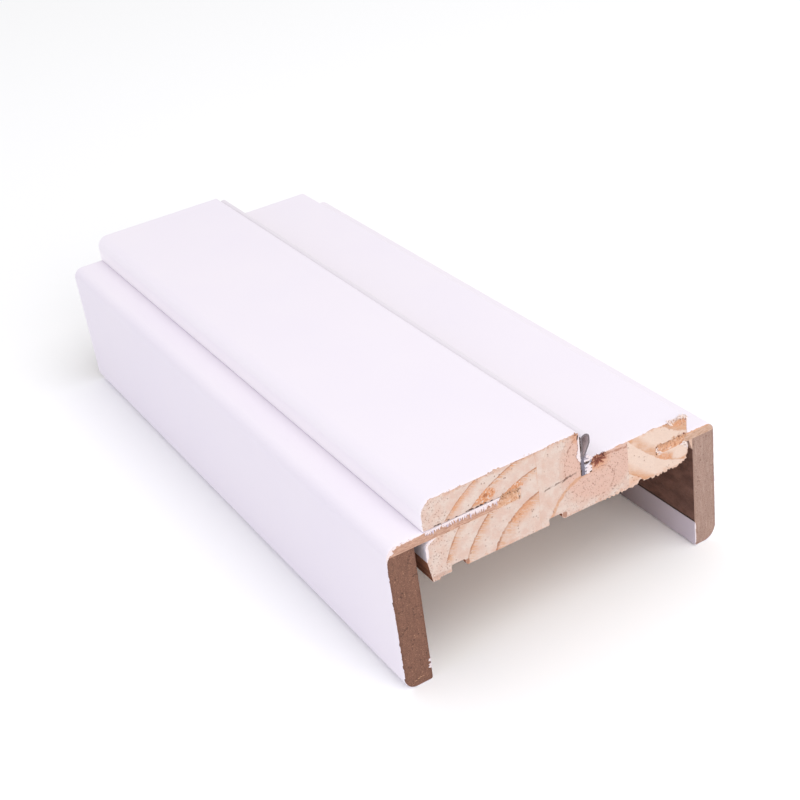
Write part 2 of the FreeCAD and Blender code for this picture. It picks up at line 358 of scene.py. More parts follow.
def pineFinish(name, strip):
    f = Finish(name, pine)
    pen = f.pen
    swayX, swayZ = pine.swayBy
    acrossX = f.x - strip.pith[0] + (f.sway - 0.5) * swayX
    acrossZ = (f.z - strip.pith[1]) * strip.flattened + (f.sway - 0.5) * swayZ
    squared = acrossX * acrossX + acrossZ * acrossZ
    shiver = (f.shiver - 0.5) * pine.shiverBy
    year = (squared / strip.ringArea + (pine.firstYear + strip.phase) + shiver).fraction()
    strength = f.lively * f.x.step(*strip.fadeLeft) * strip.ringStrength
    for place, size in strip.get("quiet", []):
        strength = strength * (1 - f.spotAt(place, size, pine.quietRagged))

    # The saw's marks hatch the rings along one slanting direction
    scaleX, scaleY, scaleSawn = pine.hatchScale
    sawn = (f.z + f.x * pine.hatchLean) * scaleSawn
    f.hatch = f.noise(*pine.hatch, pen.vector(f.x * scaleX, f.y * scaleY, sawn))
    hatching = 1 + (f.hatch.step(*pine.hatched) - pine.hatchMiddle) * strip.hatched
    begin, full, stop = strip.lateBand
    lateWood = year.step(begin, full) * year.step(1.0, stop) * strength * hatching
    edge = year.step(*pine.edgeIn) * year.step(*pine.edgeOut) * strength * strip.edgeStrength
    wood = pen.layers(
        pine.early,
        (f.patch * pine.patchBy, pine.pale),
        (strip.cream, pine.cream),
        (squared.root().step(*pine.nearPith) * strip.rosy, pine.rosy),
        (lateWood * pine.lateBy, pine.late),
        (edge * pine.edgeBy, pine.edge),
    )

    # Stains, of which the torn ones break up into dark and pale grit, then lines and curves
    for place, size, colour, by, more in strip.stains:
        mask = f.spotAt(place, size, pine.stainRagged, more.get("burst", 0.0), more.get("soft", 0.0)) * by
        if "rings" in more:
            mask = mask * year.step(*more["rings"]) * year.step(*pine.stainOut)
        wood = pen.blend(mask, wood, pine[colour])
        if "torn" in more:
            dark, pale = f.gritty.step(*pine.gritDark), f.gritty.step(*pine.gritPale)
            mask = mask * more["torn"]
            wood = pen.layers(wood, (mask * dark, pine.tornDark), (mask * pale, pine.pale))
    for start, end, width, colour, by in strip.get("lines", []):
        mask = f.lineAt(start, end, width) * (pine.lineLeast + f.broken * (1 - pine.lineLeast))
        wood = pen.blend(mask * by, wood, pine[colour])
    for centre, radius, width, xs, zs, dots, by in strip.get("curves", []):
        window = f.x.within(*xs, pine.curveFade) * f.z.within(*zs, pine.curveFade)
        solid = pine.curveLeast + f.broken * pine.curveBy
        mask = f.circleAt(centre, radius, width) * window * (solid + (f.dotted - solid) * dots)
        wood = pen.blend(mask * by, wood, pine["spot" if dots else "late"])

    # Pores, ticks, pale flecks and the torn rim beside each face
    f.pores = f.spots(*pine.poreSpots) * f.poreClouds
    ticks = f.spots(*pine.tickSpots) * f.tickClouds
    ragged = f.fibre * pine.rimRagged
    faces = (f.z + ragged).step(*pine.rimTop).most((f.z - ragged).step(*pine.rimBack))
    rebate = (f.z + ragged).step(*pine.rimRebate) * f.x.step(*pine.rimKerf)
    wood = pen.layers(
        wood,
        (f.pores * pine.poresBy, pine.spot),
        (ticks * f.x.step(*strip.specks) * strip.speckled, pine.tick),
        (f.flecks * pine.flecksBy, pine.pale),
        (faces.most(rebate) * f.rimClouds * pine.rimBy, pine.torn),
    )
    tone = pine.tone + (f.fibre - 0.5) * pine.toneFibre + (f.hatch - 0.5) * pine.toneHatch

    # Along the moulding the top and back are planed pine, and the sides are painted darker with long streaks:
    # painted shade
    side = pen.blend(f.streak.step(*pine.sideStreaks), pine.side, pine.sideDark)
    planed = pen.blend(f.streak.step(*pine.backStreaks) * pine.backBy, pine.back, pine.late)
    along = pen.blend(f.facingZ.size().step(*pine.flat), side, planed)
    return f.wear(pen.blend(f.endFace, along, pen.shade(wood, tone)))


# Fibreboard: matted fibres with paler and darker flecks; its pressed faces are smoother and darker
fibreboard = Look(
    noises=Look(
        fine=(3.2, 4.0, 0.75), cloud=((0.30, 0.2, 0.12), 3.0, 0.6),
        streak=((1.6, 1.0, 0.45), 3.0, 0.65), longStreak=((1.9, 1.0, 0.13), 2.0, 0.6, 0.56, 0.70),
        fleck=(1.5, 4.0, 0.75, 0.56, 0.66), pitClouds=(0.3, 1.0, 0.5, 0.40, 0.56),
        blotch=((1.0, 0.10, 0.22), 5.0, 0.75, 0.70, 0.30),
    ),
    fineShare=0.75, fibres=(0.58, 0.38), dense=(0.72, 1.0), denseBy=0.35,
    pitSpots=(0.70, 0.13, 0.14), pitBy=0.85, skinSpots=((0.35, 0.1575, 0.21), 0.10, 0.12),
    skinBy=0.55, foilLine=(0.8, 0.4), foilLineBy=0.8, tone=0.71, toneBy=0.20,
    rough=(0.62, "endFace", 0.18), shine=0.3, bump=1.0,
    heights=Look(fine=0.16, fleck=0.05, pit=-0.18),
)
# The inner faces' colours face and faceDark are darker than the cut partly as painted shade
boards = {
    "telescopic_face_board": Look(
        box=telescopicBoard, foilEnd=telescopicBoard[1] + telescopicReturn, core=(145, 103, 85),
        dark=(100, 68, 57), pale=(196, 150, 120), face=(124, 88, 74), faceDark=(88, 58, 49),
        flecked=0.85, streaked=0.10,
    ),
    "fixed_face_board": Look(
        box=fixedBoard, foilEnd=fixedBoard[1] + fixedReturn, core=(184, 154, 141),
        dark=(148, 114, 100), pale=(204, 178, 164), face=(124, 88, 75), faceDark=(90, 60, 51),
        flecked=0.6, streaked=0.55,
    ),
}


def fibreboardFinish(name, board):
    f = Finish(name, fibreboard)
    pen, look = f.pen, fibreboard
    left, _, right, _ = board.box
    fromMiddle = ((f.x - (left + right) / 2) / ((right - left) / 2)).size()
    fibres = f.fine * look.fineShare + f.streak * (1 - look.fineShare)
    f.pit = f.spots(*look.pitSpots) * f.pitClouds
    cut = pen.layers(
        board.core,
        (fibres.step(*look.fibres), board.dark),
        (f.longStreak * board.streaked, board.pale),
        (f.fleck * board.flecked, board.pale),
        (fromMiddle.step(*look.dense) * look.denseBy, board.dark),
        (f.pit * look.pitBy, board.dark),
    )
    cut = pen.shade(cut, look.tone + f.cloud * look.toneBy)

    # The inner face: a pressed skin with long blotches and specks, its dark colour partly painted shade, and
    # a painted shadow line along the foil's end
    specks = f.spots(*look.skinSpots) * look.skinBy
    skin = pen.layers(board.face, (f.blotch, board.faceDark), (specks, board.faceDark))
    # Painted shadow along the foil's end on the inner face
    besideFoil = (f.z - board.foilEnd).size().step(*look.foilLine)
    skin = pen.shade(skin, 1 - besideFoil * look.foilLineBy)
    return f.wear(pen.blend(f.endFace, skin, cut))


# Hardboard tongue: warmer and lighter than the board that it caps, with fibres lying flat across its edge.
# Its chewed part starts and is full at two x places.
hardboard = Look(
    noises=Look(
        layered=((0.45, 0.4, 2.0), 4.0, 0.7), fine=(3.0, 4.0, 0.75), patch=(0.35, 2.0, 0.5),
        gritty=(0.9, 4.0, 0.75),
    ),
    layers=(0.62, 0.36), lights=(0.55, 0.72), lightBy=0.5, top=(-0.7, 0.2), topRagged=0.6,
    topBy=0.6, chewedBy=0.9, gritDark=(0.47, 0.40), darkBy=0.7, gritPale=(0.56, 0.62),
    paleBy=0.8, spots=(0.85, 0.16, 0.16), spotsBy=0.8, tone=0.74, toneBy=0.20,
    rough=(0.75, "fine", 0.1), shine=0.3, bump=1.0,
    heights=Look(fine=0.10, layered=0.10, torn=0.30),
)
tongues = {
    "telescopic_tongue": Look(
        body=(208, 166, 145), dark=(178, 134, 114), light=(232, 204, 188), chewed=(224, 176, 144),
        chewedAt=(25.5, 27.0), top=telescopicTongue[3],
    ),
    "fixed_tongue": Look(
        body=(212, 178, 158), dark=(186, 146, 122), light=(232, 206, 190), chewed=(226, 170, 134),
        chewedAt=(99.5, 98.0), top=fixedTongue[3],
    ),
}


def hardboardFinish(name, tongue):
    f = Finish(name, hardboard)
    pen, look = f.pen, hardboard
    top = (f.z + f.fine * look.topRagged - tongue.top).step(*look.top)
    chewed = f.x.step(*tongue.chewedAt)
    f.torn = chewed * f.gritty
    colour = pen.layers(
        tongue.body,
        (f.layered.step(*look.layers), tongue.dark),
        (f.fine.step(*look.lights) * look.lightBy, tongue.light),
        (top * look.topBy, tongue.chewed),
        (chewed * look.chewedBy, tongue.chewed),
        (chewed * f.gritty.step(*look.gritDark) * look.darkBy, pine.tornDark),
        (chewed * f.gritty.step(*look.gritPale) * look.paleBy, pine.pale),
        (chewed * f.spots(*look.spots) * look.spotsBy, pine.spot),
    )
    return f.wear(pen.shade(colour, look.tone + f.patch * look.toneBy))


# White foil: satin, with the faint orange peel that a wrapped profile has. Thickness is how far it stands
# out of the solid and sunk how far it goes in. LegUnder and floorTop count from the jamb's back and from the
# rebate's floor, and deepening from the nearer end.
foil = Look(
    thickness=0.15, sunk=0.03, noises=Look(peel=(0.8, 2.0, 0.5), cloud=(0.03, 2.0, 0.5)),
    # inside and the deep colour on the next line are painted shade on the foil's returns inside the legs
    white=(238, 231, 238), shadow=(234, 227, 237), inside=(206, 196, 206), torn=(219, 205, 206),
    deepInside=(124, 104, 102), besideSeal=(224, 217, 224), aboveCap=(255, 250, 252),
    capLeast=0.55, capDeep=(-3.5, -8.5), capSide=(-1.5, -0.5), capFoot=(-10.6, -10.3),
    legFade=0.2, legUnder=(-2.0, -4.0), deepening=(0.0, 60.0), upward=(0.6, 0.9),
    floorTop=(1.0, 0.5), floorLeft=(60.0, 61.5), sealShade=(70.0, 62.5), sealBy=0.8,
    rough=(0.38, "peel", 0.08), shine=0.35, bump=0.4, heights=Look(peel=0.02),
)


def foilFinish(name):
    f = Finish(name, foil)
    pen = f.pen

    # Painted light: the jamb's side above the left cap is painted lighter, for the light that the cap throws
    # back
    facingLeft = f.facingX.least(0.0)
    aboveCap = foil.capLeast + f.z.step(*foil.capDeep) * (1 - foil.capLeast)
    aboveCap = aboveCap * facingLeft * facingLeft * f.x.step(*foil.capSide) * f.z.step(*foil.capFoot)

    # Painted shade: the foil's returns inside the two legs are painted darker, the more so the further they
    # are from an end
    leg = f.x.within(telescopicBoard[2], fixedBoard[0], foil.legFade)
    inside = leg * (f.z - jambBack).step(*foil.legUnder)
    fromEnd = f.y.least(jambLength - f.y)
    paintedLegShade = pen.blend(fromEnd.step(*foil.deepening), foil.inside, foil.deepInside)

    # Painted shade: the rebate's floor is painted a soft shade darker beside the seal
    onFloor = f.facingZ.step(*foil.upward) * (f.z - rebateFloor).step(*foil.floorTop)
    shaded = onFloor * f.x.step(*foil.floorLeft) * f.x.step(*foil.sealShade) * foil.sealBy
    return f.wear(pen.layers(
        foil.shadow,
        (f.cloud, foil.white),
        (aboveCap, foil.aboveCap),
        (shaded, foil.besideSeal),
        # The foil facing the cut is painted a little warmer and darker: painted shade
        (f.endFace, foil.torn),
        (inside, paintedLegShade),
    ))


# Soft seal: pale skin along its length, grey where the knife went through it, and painted shade on the walls
# inside its hollow bulb
seal = Look(
    skin=(226, 220, 227), cut=(104, 93, 96), stem=(102, 96, 110), barb=(226, 222, 232),
    hollow=(206, 190, 192), noises=Look(grain=(2.2, 3.0, 0.5)), bulbCentre=(60.0, -4.6),
    facesIn=(0.0, 0.3), bulbFoot=(-10.4, -10.0), stemTop=(-8.6, -10.6), barbLeft=(59.1, 59.4),
    barbTop=(-10.8, -11.2), tone=0.9, toneBy=0.2, rough=(0.50, "grain", 0.1), shine=0.5, bump=0.4,
    heights=Look(grain=0.03),
)


def sealFinish(name):
    f = Finish(name, seal)
    pen = f.pen
    centreX, centreZ = seal.bulbCentre
    inward = ((centreX - f.x) * f.facingX + (centreZ - f.z) * f.facingZ).step(*seal.facesIn)
    barbs = f.x.step(*seal.barbLeft) * f.z.step(*seal.barbTop)
    cut = pen.layers(seal.cut, (f.z.step(*seal.stemTop), seal.stem), (barbs, seal.barb))
    cut = pen.shade(cut, seal.tone + f.grain * seal.toneBy)
    # Painted shade on the walls that face into the hollow bulb
    hollow = inward * f.z.step(*seal.bulbFoot)
    return f.wear(pen.layers(seal.skin, (hollow, seal.hollow), (f.endFace, cut)))


# Plain fibrous finishes for what is torn at the cuts, and dark, shade and lilac ones that are painted shadow
# and shade in gaps and between strands: a material's name, its colour and its darker one
fibrous = Look(
    noises=Look(fine=(2.5, 3.0, 0.7)), mottled=(0.3, 0.7),
    rough=(0.75, "fine", 0.1), shine=0.5, bump=0.6, heights=Look(fine=0.08),
)
torn = {
    "pine": ("tornPine", (218, 190, 174), (188, 150, 128)),
    "tan": ("tornTan", (200, 150, 116), (160, 110, 82)),
    "brown": ("tornBrown", (150, 86, 68), (96, 50, 42)),
    "shade": ("paintedShadeGap", (168, 130, 102), (124, 92, 72)),
    "dark": ("paintedShadowGap", (84, 62, 54), (46, 32, 28)),
    "pale": ("tornPale", (232, 220, 214), (206, 188, 178)),
    "tuft": ("tornTuft", (240, 230, 226), (224, 202, 192)),
    "honey": ("tornHoney", (210, 168, 136), (176, 130, 100)),
    "lilac": ("paintedShadeFoil", (208, 198, 212), (182, 170, 186)),
    "glue": ("driedGlue", (208, 178, 160), (182, 146, 128)),
}


def tornFinish(name, colour, dark):
    f = Finish(name, fibrous)
    return f.wear(f.pen.blend(f.fine.step(*fibrous.mottled), dark, colour))


# Gives each node of a dictionary its own finish, named after the node with one word changed
def assign(makeFinish, looks, old, new):
    for node, look in looks.items():
        nodes[node].data.materials[0] = makeFinish(node.replace(old, new), look)


assign(pineFinish, strips, "jamb", "pine")
assign(fibreboardFinish, boards, "face", "fibre")
assign(hardboardFinish, tongues, "_tongue", "Hardboard")
nodes["door_seal"].data.materials[0] = sealFinish("softSeal")
finishes = {"foil": foilFinish("whiteFoil"), **{key: tornFinish(*look) for key, look in torn.items()}}
print("finishes made")


# The fewest points of an arc, how close a path's points may come as a share of its step, and the angle in
# degrees from which an edge stays sharp
arcPoints, closest, sharpAngle = 6, 0.01, 40


# A value kept between 0 and 1
def share(value):
    return np.clip(value, 0, 1)


# Vectors brought to length 1
def unit(vectors):
    return vectors / np.linalg.norm(vectors, axis=-1, keepdims=True)


# 0 at both ends of a line, rising to 1 within a reach of them
def taper(travelled, reach):
    return share(travelled / reach) * share((travelled[-1] - travelled) / reach)


# Random but repeatable unevenness along a line: seeded values at a spacing, joined by a smooth curve,
# from -1 to 1
def unevenness(places, spacing, seed):
    count = int((places.max() - places.min()) / spacing) + 3
    values = np.random.default_rng(seed).uniform(-1, 1, count)
    position = (places - places.min()) / spacing
    index = np.floor(position).astype(int)
    part = position - index
    part = part * part * (3 - 2 * part)
    return values[index] * (1 - part) + values[index + 1] * part


# A path of straight runs whose corners are rounded by arcs tangent to both runs, sampled at a step.
# Each corner is (x, z, radius). Gives the points, the directions to the path's left, and the distance
# travelled at each point.
def roundedPath(corners, step):
    points = [np.array(c[:2], float) for c in corners]
    stretches = []
    cursor = points[0]
    for i in range(1, len(points)):
        end = points[i]
        radius = corners[i][2] if i < len(points) - 1 else 0
        enter, leave, arc = end, end, np.empty((0, 2))
        if radius:
            back, ahead = unit(points[i - 1] - end), unit(points[i + 1] - end)
            half = math.acos(np.clip(back @ ahead, -1, 1)) / 2
            centre = end + unit(back + ahead) * radius / math.sin(half)
            enter, leave = end + back * radius / math.tan(half), end + ahead * radius / math.tan(half)
            arm, last = enter - centre, leave - centre
            turn = (math.pi - 2 * half) * np.sign(arm[0] * last[1] - arm[1] * last[0])
            angles = np.linspace(0, turn, max(arcPoints, int(abs(turn) * radius / step)))[1:-1]
            cos, sin = np.cos(angles), np.sin(angles)
            arc = np.stack([arm[0] * cos - arm[1] * sin, arm[0] * sin + arm[1] * cos], 1) + centre
        count = max(2, int(np.linalg.norm(enter - cursor) / step))
        stretches += [np.linspace(cursor, enter, count), arc]
        cursor = leave
    line = np.concatenate(stretches)
    gaps = np.linalg.norm(np.diff(line, axis=0), axis=1)
    line = line[np.r_[True, gaps > step * closest]]
    run = unit(np.gradient(line, axis=0))
    travelled = np.r_[0, np.cumsum(np.linalg.norm(np.diff(line, axis=0), axis=1))]
    return line, np.stack([-run[:, 1], run[:, 0]], 1), travelled


# Section places (x, z) and length places y, all in millimetres, put into the frame
def toFrame(place, y):
    x, z = jambLeft + place[..., 0] * mm, jambTop + place[..., 1] * mm
    return np.stack(np.broadcast_arrays(x, nearEnd + y * mm, z), -1)


# A new object in the scene
def link(name, data):
    made = bpy.data.objects.new(name, data)
    scene.collection.objects.link(made)
    return made


# A new closed object from points and faces, its faces turned outwards, smooth except at sharp corners
def piece(name, points, faces, finish, body):
    mesh = bpy.data.meshes.new(name)
    mesh.from_pydata(points.reshape(-1, 3).tolist(), [], faces.tolist())
    mesh.validate()
    shell = bmesh.new()
    shell.from_mesh(mesh)
    bmesh.ops.recalc_face_normals(shell, faces=shell.faces)
    shell.to_mesh(mesh)
    shell.free()
    mesh.materials.append(finishes[finish])
    mesh.shade_smooth()
    mesh.set_sharp_from_angle(angle=math.radians(sharpAngle))
    made = link(name, mesh)
    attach(made, body)


# Faces of a tube made of rings of points, one after another. Each end is closed by strips that join the
# first half of its ring to the second half.
def tubeFaces(rings, around):
    ring, spot = np.meshgrid(np.arange(rings - 1) * around, np.arange(around), indexing="ij")
    following = (spot + 1) % around
    walls = np.stack([ring + spot, ring + following, ring + around + following, ring + around + spot], -1)
    first = np.arange(around // 2 - 1)
    mate = around - 1 - first
    start = np.stack([first, mate, mate - 1, first + 1], 1)
    end = np.stack([first, first + 1, mate - 1, mate], 1) + (rings - 1) * around
    return np.concatenate([walls.reshape(-1, 4), start, end])


# A closed skin between two grids of points, its front and its back
def skin(name, front, back, finish, body):
    points = np.concatenate([front, back[:, ::-1]], 1)
    piece(name, points, tubeFaces(*points.shape[:2]), finish, body)


# Many copies of a small closed shape as one piece, from their points (x, along, z) and the faces of one
def cluster(name, points, faces, settings):
    copies = len(points)
    starts = np.arange(copies) * (points[0].size // 3)
    faces = (faces[None] + starts[:, None, None]).reshape(-1, faces.shape[1])
    framed = toFrame(points[..., [0, 2]], points[..., 1])
    piece(name, framed, faces, settings.finish, settings.get("body", jamb))


# The two bodies that the pieces here ride on
jamb, sliding = "jamb", "telescopic_architrave"

# Spacings are those of the near edge, its teeth, its chips, the far edge, the lift, the chips' own edges, and
# the fold's coarse and fine unevenness. Rows are where the foil has points along its length.
wrap = Look(
    step=0.18, rows=(0.0, 0.25, 0.7, 1.6, 4.0, 12.0, 60.0), edge=0.35, edgeReach=0.7,
    spacings=(0.5, 0.9, 2.6, 0.7, 1.7, 0.5, 1.9, 0.45), nearRagged=0.14, farRagged=0.12,
    flush=-0.10, teeth=0.30, chipped=1.2, chipLeast=0.5, chipUneven=0.3, raggedReach=3.0,
    lift=0.10, liftReach=1.2, foldCoarse=0.5, foldFine=0.35, foldTaper=1.5, foldGone=0.25,
    foldFront=-0.10, foldBack=0.02,
)


# Foil wrapped along the moulding: the path pushed out by the foil's thickness and carried from end to end.
# At the near end it is toothed and chipped back here and there, lifts a little, and where it is whole it
# folds over the cut by an amount between two given ones. At the far end its edge is only uneven.
def wrapFoil(name, settings):
    line, outward, travelled = roundedPath(settings.path, wrap.step)
    near, tooth, chip, far, lift, rough, coarse, fine = (
        unevenness(travelled, spacing, settings.seed + i) for i, spacing in enumerate(wrap.spacings)
    )
    teeth = share(tooth) ** 2 * wrap.teeth * settings.teeth
    chip = share(chip - wrap.chipLeast) * wrap.chipped * settings.chip
    chip *= 1 - wrap.chipUneven * (1 - rough)
    nearEdge = wrap.nearRagged * near + teeth + chip + wrap.flush
    lift = share(lift) * wrap.lift * settings.lift
    least, most = settings.fold
    uneven = share(0.5 + wrap.foldCoarse * coarse + wrap.foldFine * fine)
    fold = (least + (most - least) * uneven) * taper(travelled, wrap.foldTaper)
    whole = share(1 - (chip + teeth) / wrap.foldGone)

    rows = np.array(wrap.rows)
    lengths = np.concatenate([rows, [jambLength / 2], jambLength - rows[::-1]])[:, None]
    y = lengths + share(1 - lengths / wrap.raggedReach) * nearEdge
    y = y - share(1 - (jambLength - lengths) / wrap.raggedReach) * wrap.farRagged * far
    proud = wrap.edge + (1 - wrap.edge) * share(lengths / wrap.edgeReach)
    proud = foil.thickness * proud + share(1 - lengths / wrap.liftReach) * lift
    outer = line + outward * proud[..., None]
    inner = np.broadcast_to(line - outward * foil.sunk, outer.shape)
    folded = line[None] - outward * (fold * whole + foil.sunk * (1 - whole))[:, None]
    foldFront = whole * (wrap.foldFront - lift) + (1 - whole) * nearEdge
    foldBack = (1 - whole) * nearEdge + wrap.foldBack
    front = np.concatenate([toFrame(folded, foldFront), toFrame(outer, y)])
    back = np.concatenate([toFrame(folded, foldBack), toFrame(inner, y)])
    skin(name, front, back, "foil", settings.body)


# The outer side and the top of each architrave, and the level that both stand on. A path's corners are x, z
# and the radius that the solid has there. Chip, teeth and lift are shares of wrap's amounts, and fold is the
# least and the most that a foil folds over the cut.
left, _, _, leftTop = telescopicTongue
_, _, right, rightTop = fixedTongue
foot = telescopicBoard[1]
foils = {
    "foil_jamb_face": Look(
        body=jamb, seed=7, chip=0.8, teeth=1.0, lift=0.8, fold=(0.0, 0.12),
        path=[
            (1.6, -10.0, 0), (0, -10.0, 0.12), (0, 0, 4.5), (57.5, 0, 0.8), (57.5, rebateFloor + 0.6, 0),
        ],
    ),
    "foil_jamb_rebate": Look(
        body=jamb, seed=17, chip=1.0, teeth=1.0, lift=1.0, fold=(0.0, 0.20),
        path=[
            (61.8, rebateFloor - 1.2, 0), (61.8, rebateFloor, 0.3),
            (jambRight, rebateFloor, 1.5), (jambRight, -17.8, 0),
        ],
    ),
    "foil_jamb_left_side": Look(
        body=jamb, seed=27, chip=0.0, teeth=0.15, lift=0.6, fold=(0.70, 0.92),
        path=[(0, -21.2, 0), (0, -13.9, 2.8), (3.9, -13.9, 0)],
    ),
    "foil_jamb_right_side": Look(
        body=jamb, seed=37, chip=0.3, teeth=1.0, lift=1.0, fold=(0.1, 0.5),
        path=[(97.0, -21.3, 0), (jambRight, -21.3, 0.8), (jambRight, jambBack + 4.2, 0)],
    ),
    "foil_telescopic_architrave": Look(
        body=sliding, seed=74, chip=0.5, teeth=1.6, lift=0.0, fold=(0.0, 0.0),
        path=[
            (telescopicBoard[2], foot + telescopicReturn, 0), (telescopicBoard[2], foot, 0.8),
            (left, foot, 4.0), (left, leftTop, 3.8), (27.5, leftTop, 0),
        ],
    ),
    "foil_fixed_architrave": Look(
        body=jamb, seed=61, chip=0.5, teeth=1.2, lift=0.0, fold=(0.0, 0.0),
        path=[
            (97.5, rightTop, 0), (right, rightTop, 3.2), (right, foot, 5.0), (fixedBoard[0], foot, 0.6),
            (fixedBoard[0], foot + fixedReturn, 0),
        ],
    ),
}
for foilName, settings in foils.items():
    wrapFoil(foilName, settings)
print("foil wrapped")

# Ribbons torn loose at the cut. Each starts at a path and reaches to its left (side 1) or right (side -1)
# by the amounts given at distances along it, which strands make uneven at a spacing. Depth is how far it
# stands out of the cut and how far it goes in. What a ribbon doesn't say is as in usual.
usual = Look(side=-1, depth=(0.12, -0.05), curl=0.0, finish="foil", body=jamb)
ribbons = {
    "fringe_over_tongue": Look(
        path=[(0.4, -10.55, 0), (13.0, -10.20, 0), (27.6, -10.16, 0)], curl=0.1, strands=0.85,
        reach=[
            (0, 0.35), (6, 0.45), (12.5, 0.6), (15.7, 0.8), (19.5, 1.2), (20.6, 1.0), (23, 1.1), (26.3, 0.8),
            (27.2, 0.5),
        ],
        spacing=0.3, seed=3, body=sliding,
    ),
    "torn_foil_over_cap": Look(
        path=[(left, -16.5, 0), (left, leftTop, 3.8), (-0.2, leftTop, 0)], strands=0.5,
        reach=[
            (0, 0.0), (1.65, 0.16), (3.4, 0.74), (5.6, 1.45), (7, 0.75), (8.5, 0.5), (12, 0.45), (17, 0.3),
        ],
        spacing=0.5, seed=34, body=sliding,
    ),
    "foil_edge_at_right_foot": Look(
        path=[(fixedBoard[0] - 0.12, foot + 9.4, 0), (fixedBoard[0] - 0.12, foot + 0.6, 0)],
        side=1, depth=(0.10, -0.05), reach=[(0, 0.45), (4.4, 0.55), (8.8, 0.4)],
        strands=0.2, spacing=0.8, seed=35,
    ),
    "torn_foil_at_step": Look(
        path=[(57.62, -0.7, 0), (57.62, -10.9, 0)], depth=(0.25, 0.0), curl=0.15,
        reach=[(0, 0.15), (2, 0.55), (4, 0.45), (5.6, 0.7), (7.2, 1.25), (9.0, 1.0), (10.2, 0.2)],
        strands=0.30, spacing=0.6, seed=14,
    ),
    "torn_foil_at_kerf": Look(
        path=[(61.75, -11.0, 0), (58.9, -11.0, 0)], side=1, depth=(0.1, -0.3), curl=0.1,
        reach=[(0, 0.3), (1.4, 0.7), (2.85, 0.9)], strands=0.30, spacing=0.6, seed=15,
    ),
    "teeth_under_middle": Look(
        path=[(63.5, -28.4, 0), (79.2, -28.4, 0)], depth=(0.05, -0.45), finish="pine",
        reach=[(0, 0.1), (3, 0.2), (8, 0.32), (15.7, 0.40)], strands=1.3, spacing=0.52, seed=21,
    ),
    "teeth_under_right": Look(
        path=[(82.2, -28.4, 0), (99.9, -28.4, 4.2), (99.9, -23.4, 0)], depth=(0.05, -0.45),
        reach=[(0, 0.25), (4, 0.46), (14, 0.46), (18, 0.38), (21.5, 0.1)], finish="pine",
        strands=1.3, spacing=0.52, seed=25,
    ),
    "dust_under_tongue": Look(
        path=[(1.8, -14.02, 0), (34.6, -14.02, 0)], side=1, depth=(0.05, 0.0), finish="pine",
        reach=[(0, 0.20), (20, 0.22), (32.8, 0.26)], strands=0.6, spacing=0.5, seed=33,
    ),
    "flecks_inside_foot": Look(
        path=[(telescopicBoard[2] + 0.05, -55.5, 0), (telescopicBoard[2] + 0.05, -60.5, 0)],
        depth=(0.14, -0.3), reach=[(0, 0.1), (1.5, 0.50), (3.6, 0.55), (5, 0.1)],
        strands=1.5, spacing=0.34, seed=31, body=sliding,
    ),
}
ribbon = Look(
    step=0.09, across=(0, 0.3, 0.6, 0.85, 1.0), fine=0.45, fineBy=0.5, limits=(0.05, 2),
    taper=0.5, least=0.02, curlSpacing=1.3, curlUneven=0.4, backCurl=0.9, thinnest=0.05,
)


def tornRibbon(name, settings):
    line, toLeft, travelled = roundedPath(settings.path, ribbon.step)
    seed, spacing = settings.seed, settings.spacing
    strand = unevenness(travelled, spacing, seed)
    strand += ribbon.fineBy * unevenness(travelled, spacing * ribbon.fine, seed + 1)
    reach = np.interp(travelled, *zip(*settings.reach))
    reach = reach * np.clip(1 + settings.strands * strand, *ribbon.limits)
    reach = (reach * taper(travelled, ribbon.taper) + ribbon.least) * settings.side
    across = np.array(ribbon.across)
    place = line[:, None] + toLeft[:, None] * (reach[:, None] * across)[..., None]
    uneven = 1 - ribbon.curlUneven * (1 - unevenness(travelled, ribbon.curlSpacing, seed + 2))
    bulge = settings.curl * across ** 2 * uneven[:, None]
    out, into = settings.depth
    frontY = -out - bulge
    backY = np.maximum(-into - bulge * ribbon.backCurl, frontY + ribbon.thinnest)
    skin(name, toFrame(place, frontY), toFrame(place, backY), settings.finish, settings.body)


for ribbonName, settings in ribbons.items():
    tornRibbon(ribbonName, Look({**usual, **settings}))
print("torn edges made")

